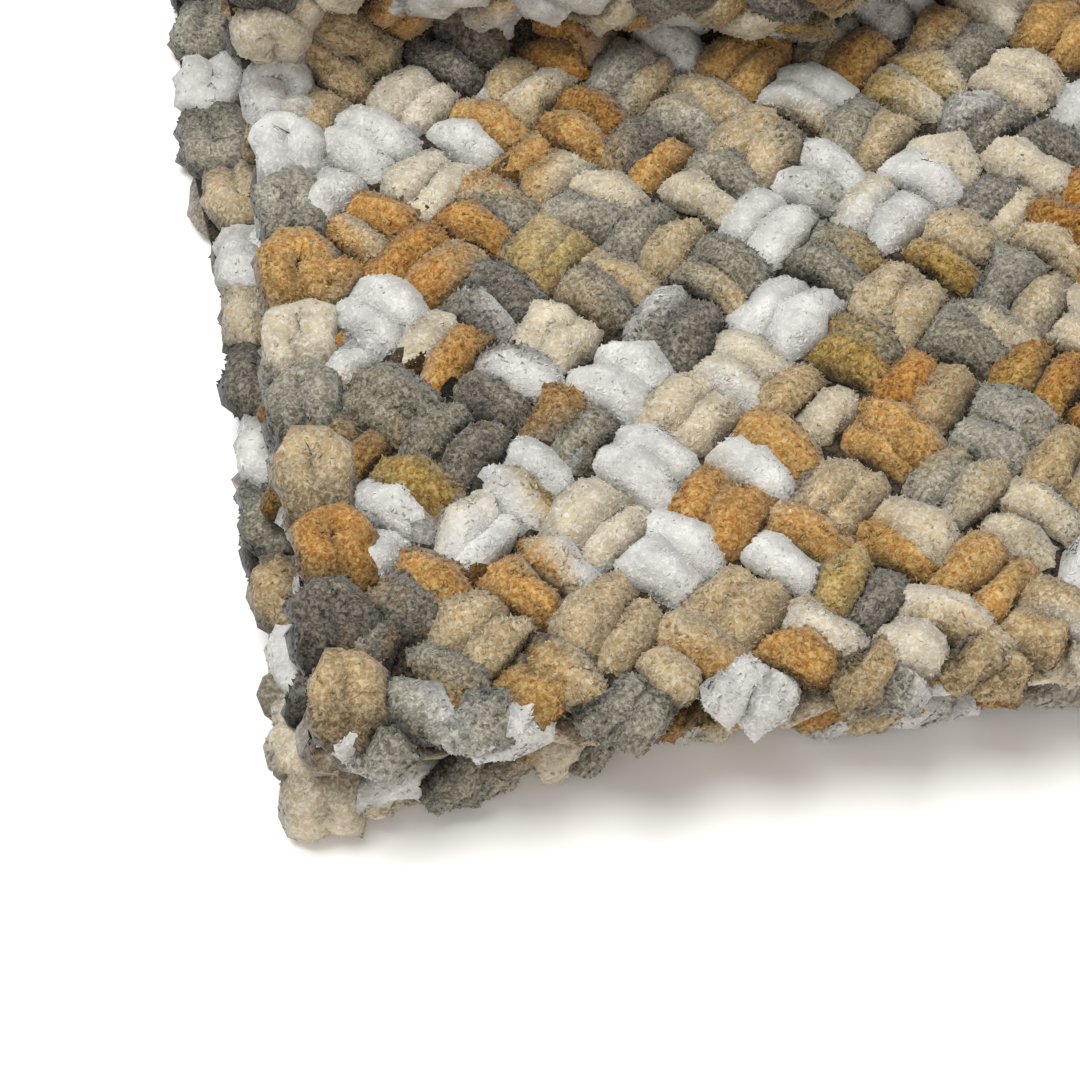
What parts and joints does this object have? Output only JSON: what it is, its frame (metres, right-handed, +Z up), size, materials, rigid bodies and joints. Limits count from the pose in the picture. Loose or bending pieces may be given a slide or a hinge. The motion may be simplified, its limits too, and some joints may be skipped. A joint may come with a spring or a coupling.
{
  "type": "chunky knit blanket",
  "caption": "Folded chunky knit blanket in thick chenille yarn, plaited diagonally in white, cream, gold and grey, with a chained side edge and a soft pleat across it.",
  "frame": {"origin": "centre of the bounding box's underside, on the surface that the folded blanket rests on", "axes": "+X across the cloth, along the near edges; +Y away from the near edges, towards the fold; +Z up"},
  "size_m": [0.3588, 0.2986, 0.0775],
  "materials": {
    "chenille_yarn": "soft short pile"
  },
  "bodies": {
    "root": {"blanket": "chenille_yarn"}
  },
  "joints": []
}
